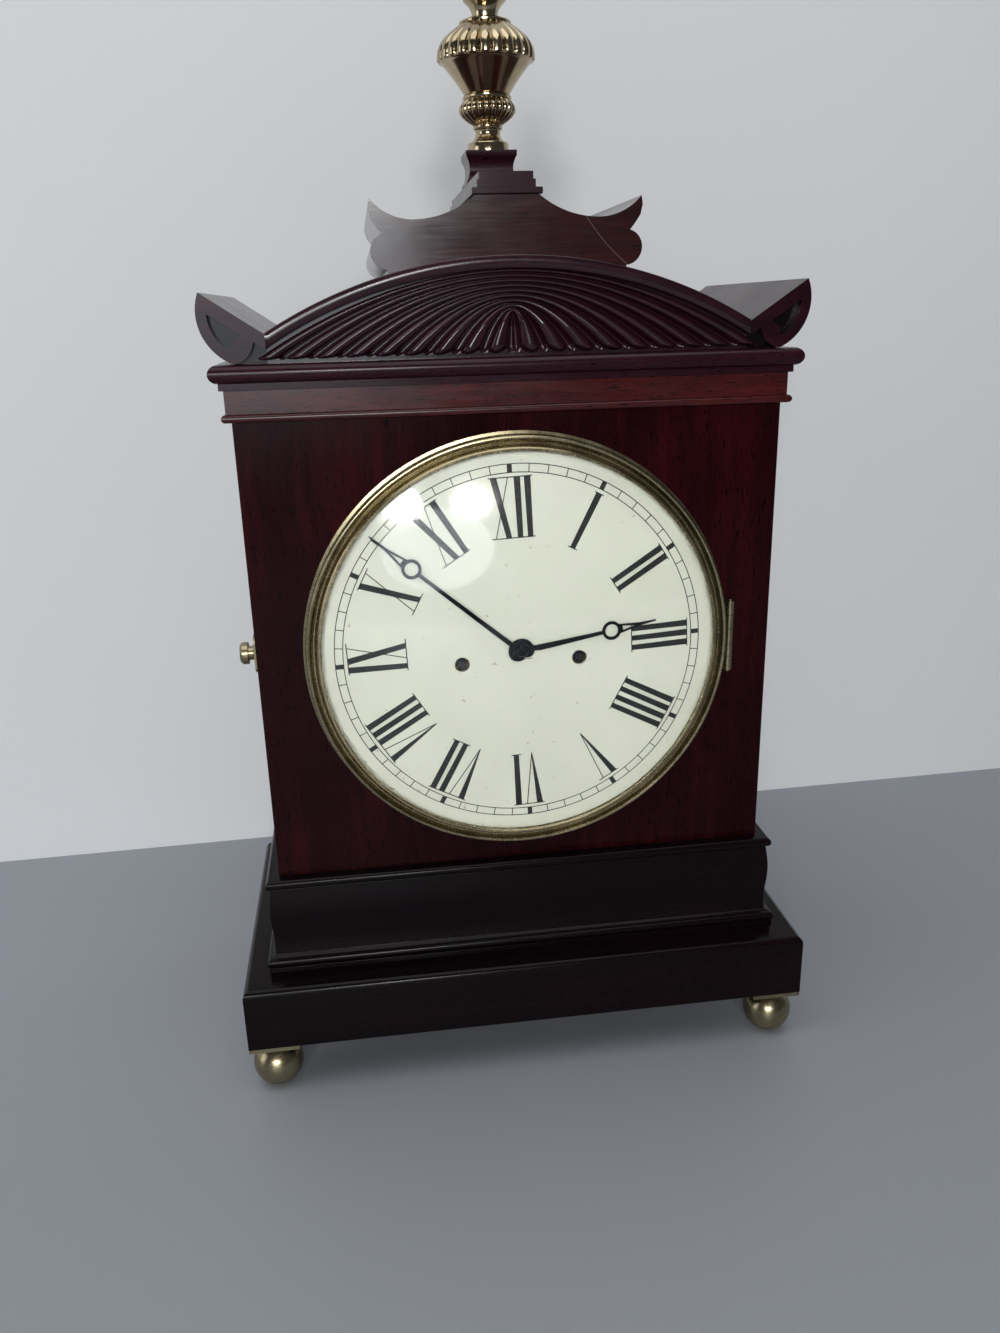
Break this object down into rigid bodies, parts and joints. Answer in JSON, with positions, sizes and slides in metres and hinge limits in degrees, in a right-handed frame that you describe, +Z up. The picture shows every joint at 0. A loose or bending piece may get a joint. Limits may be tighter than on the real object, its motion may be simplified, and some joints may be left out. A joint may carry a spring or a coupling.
{
  "type": "table clock",
  "caption": "Regency mahogany table clock on ball feet: arched carved pediment, scroll ears, turned finial, round painted dial behind a hinged domed glass, fusee movement.",
  "frame": {"origin": "on the floor under the middle of the base, between the four ball feet", "axes": "+Z up, +X to the right as the clock is faced, +Y to the back, so the dial faces -Y"},
  "size_m": [0.3152, 0.1723, 0.5815],
  "materials": {
    "mahogany": "polished, dark red-brown",
    "ebonised": "dark polished, rubbed at the edges",
    "case_brass": "aged, mellow",
    "clock_brass": "lacquered",
    "bell_metal": "cast, turned",
    "steel": "plain",
    "blued_steel": "dark blued",
    "glass": "clear, domed",
    "dial_paint": "cream painted"
  },
  "bodies": {
    "case": {"ball_feet": "case_brass", "plinth": "mahogany", "base_board": "mahogany", "base_ogee": "mahogany", "base_ledge": "mahogany", "front_board": "mahogany", "side_left": "mahogany", "side_right": "mahogany", "back_rail": "mahogany", "top_board": "mahogany", "seat_board": "mahogany", "frieze": "mahogany", "cornice_roll": "mahogany", "tympanum": "ebonised", "ear_left": "ebonised", "ear_right": "ebonised", "hood_roof": "ebonised", "upper_block": "ebonised", "cap": "ebonised", "finial_block": "ebonised", "finial": "case_brass", "side_fret_left": "case_brass", "side_fret_right": "case_brass", "button_plate": "case_brass", "case_hinge": "case_brass", "latch_spring": "steel", "dial": "dial_paint", "front_plate": "clock_brass", "back_plate": "clock_brass", "pillars": "clock_brass", "back_cock": "clock_brass", "bell": "bell_metal", "bell_stand": "steel"},
    "bezel_door": {"bezel": "case_brass", "glass": "glass", "bezel_hinge": "case_brass", "bezel_hook": "case_brass"},
    "latch": {"latch_button": "case_brass"},
    "back_door": {"door_frame": "mahogany", "door_pins": "case_brass"},
    "door_turn": {"door_turn": "case_brass"},
    "centre_arbor": {"centre_wheel": "clock_brass", "cannon_pinion": "clock_brass", "minute_hand": "blued_steel"},
    "hour_pipe": {"hour_wheel": "clock_brass", "hour_hand": "blued_steel"},
    "minute_wheel": {"minute_wheel": "clock_brass"},
    "third_arbor": {"third_wheel": "clock_brass"},
    "escape_arbor": {"escape_wheel": "clock_brass"},
    "going_fusee": {"going_fusee": "clock_brass"},
    "going_barrel": {"going_barrel": "clock_brass"},
    "strike_fusee": {"strike_fusee": "clock_brass"},
    "strike_barrel": {"strike_barrel": "clock_brass"},
    "pin_arbor": {"pin_wheel": "clock_brass"},
    "gathering_arbor": {"gathering_wheel": "clock_brass"},
    "warning_arbor": {"warning_wheel": "clock_brass"},
    "fly_arbor": {"fly": "clock_brass"},
    "pallet_arbor": {"anchor": "steel"},
    "pendulum": {"pendulum": "clock_brass"},
    "hammer_arbor": {"hammer": "steel"}
  },
  "joints": [
    {"name": "bezel_hinge", "type": "hinge", "parent": "case", "child": "bezel_door", "pos_m": [0.1119, -0.0657, 0.245], "axis": [0, 0, 1], "range_deg": [0, 110]},
    {"name": "latch_push", "type": "slide", "parent": "case", "child": "latch", "axis": [1, 0, 0], "range_m": [0, 0.003], "stiffness_N_per_m": 400, "springref_m": -0.002, "deforming": ["latch_spring"]},
    {"name": "door_hinge", "type": "hinge", "parent": "case", "child": "back_door", "pos_m": [0.1185, 0.0769, 0.2], "axis": [0, 0, -1], "range_deg": [0, 95]},
    {"name": "turn_button", "type": "hinge", "parent": "back_door", "child": "door_turn", "pos_m": [-0.1127, 0.0763, 0.246], "axis": [0, 1, 0], "range_deg": [-90, 0]},
    {"name": "minute_turn", "type": "hinge", "parent": "case", "child": "centre_arbor", "pos_m": [0, -0.0127, 0.245], "axis": [0, 1, 0], "continuous": true},
    {"name": "hour_turn", "type": "hinge", "parent": "case", "child": "hour_pipe", "pos_m": [0, -0.0527, 0.245], "axis": [0, 1, 0], "continuous": true},
    {"name": "minute_wheel_turn", "type": "hinge", "parent": "case", "child": "minute_wheel", "pos_m": [-0.00739, -0.0447, 0.2247], "axis": [0, 1, 0], "continuous": true},
    {"name": "third_turn", "type": "hinge", "parent": "case", "child": "third_arbor", "pos_m": [0.01, -0.0127, 0.26543], "axis": [0, 1, 0], "continuous": true},
    {"name": "escape_turn", "type": "hinge", "parent": "case", "child": "escape_arbor", "pos_m": [-0.00001, -0.0127, 0.27957], "axis": [0, 1, 0], "continuous": true},
    {"name": "going_fusee_turn", "type": "hinge", "parent": "case", "child": "going_fusee", "pos_m": [0.03062, -0.0127, 0.2391], "axis": [0, 1, 0], "continuous": true},
    {"name": "going_barrel_turn", "type": "hinge", "parent": "case", "child": "going_barrel", "pos_m": [0.033, -0.0127, 0.189], "axis": [0, 1, 0], "continuous": true},
    {"name": "strike_fusee_turn", "type": "hinge", "parent": "case", "child": "strike_fusee", "pos_m": [-0.03062, -0.0127, 0.2391], "axis": [0, 1, 0], "continuous": true},
    {"name": "strike_barrel_turn", "type": "hinge", "parent": "case", "child": "strike_barrel", "pos_m": [-0.033, -0.0127, 0.189], "axis": [0, 1, 0], "continuous": true},
    {"name": "pin_turn", "type": "hinge", "parent": "case", "child": "pin_arbor", "pos_m": [-0.03995, -0.0127, 0.26474], "axis": [0, 1, 0], "continuous": true},
    {"name": "gathering_turn", "type": "hinge", "parent": "case", "child": "gathering_arbor", "pos_m": [-0.03095, -0.0127, 0.28033], "axis": [0, 1, 0], "continuous": true},
    {"name": "warning_turn", "type": "hinge", "parent": "case", "child": "warning_arbor", "pos_m": [-0.02184, -0.0127, 0.29119], "axis": [0, 1, 0], "continuous": true},
    {"name": "fly_turn", "type": "hinge", "parent": "case", "child": "fly_arbor", "pos_m": [-0.01311, -0.0127, 0.28386], "axis": [0, 1, 0], "continuous": true},
    {"name": "pallet_rock", "type": "hinge", "parent": "case", "child": "pallet_arbor", "pos_m": [-0.00001, 0.0173, 0.29857], "axis": [0, 1, 0], "range_deg": [-3, 3]},
    {"name": "pendulum_swing", "type": "hinge", "parent": "case", "child": "pendulum", "pos_m": [-0.00001, 0.0383, 0.29857], "axis": [0, 1, 0], "range_deg": [-3, 3]},
    {"name": "hammer_lift", "type": "hinge", "parent": "case", "child": "hammer_arbor", "pos_m": [-0.052, -0.0127, 0.283], "axis": [0, -1, 0], "range_deg": [0, 12], "stiffness_Nm_per_rad": 0.05}
  ],
  "couplings": [
    {"joint": "hour_turn", "follows": "minute_turn", "ratio": 0.083333},
    {"joint": "minute_wheel_turn", "follows": "minute_turn", "ratio": -1},
    {"joint": "third_turn", "follows": "minute_turn", "ratio": -12},
    {"joint": "escape_turn", "follows": "minute_turn", "ratio": 120},
    {"joint": "going_fusee_turn", "follows": "minute_turn", "ratio": -0.083333},
    {"joint": "going_barrel_turn", "follows": "minute_turn", "ratio": -0.058333},
    {"joint": "strike_fusee_turn", "follows": "pin_turn", "ratio": -0.083333},
    {"joint": "strike_barrel_turn", "follows": "pin_turn", "ratio": -0.058333},
    {"joint": "gathering_turn", "follows": "pin_turn", "ratio": -8},
    {"joint": "warning_turn", "follows": "pin_turn", "ratio": 64},
    {"joint": "fly_turn", "follows": "pin_turn", "ratio": -457.14},
    {"joint": "pallet_rock", "follows": "pendulum_swing", "ratio": 1}
  ]
}
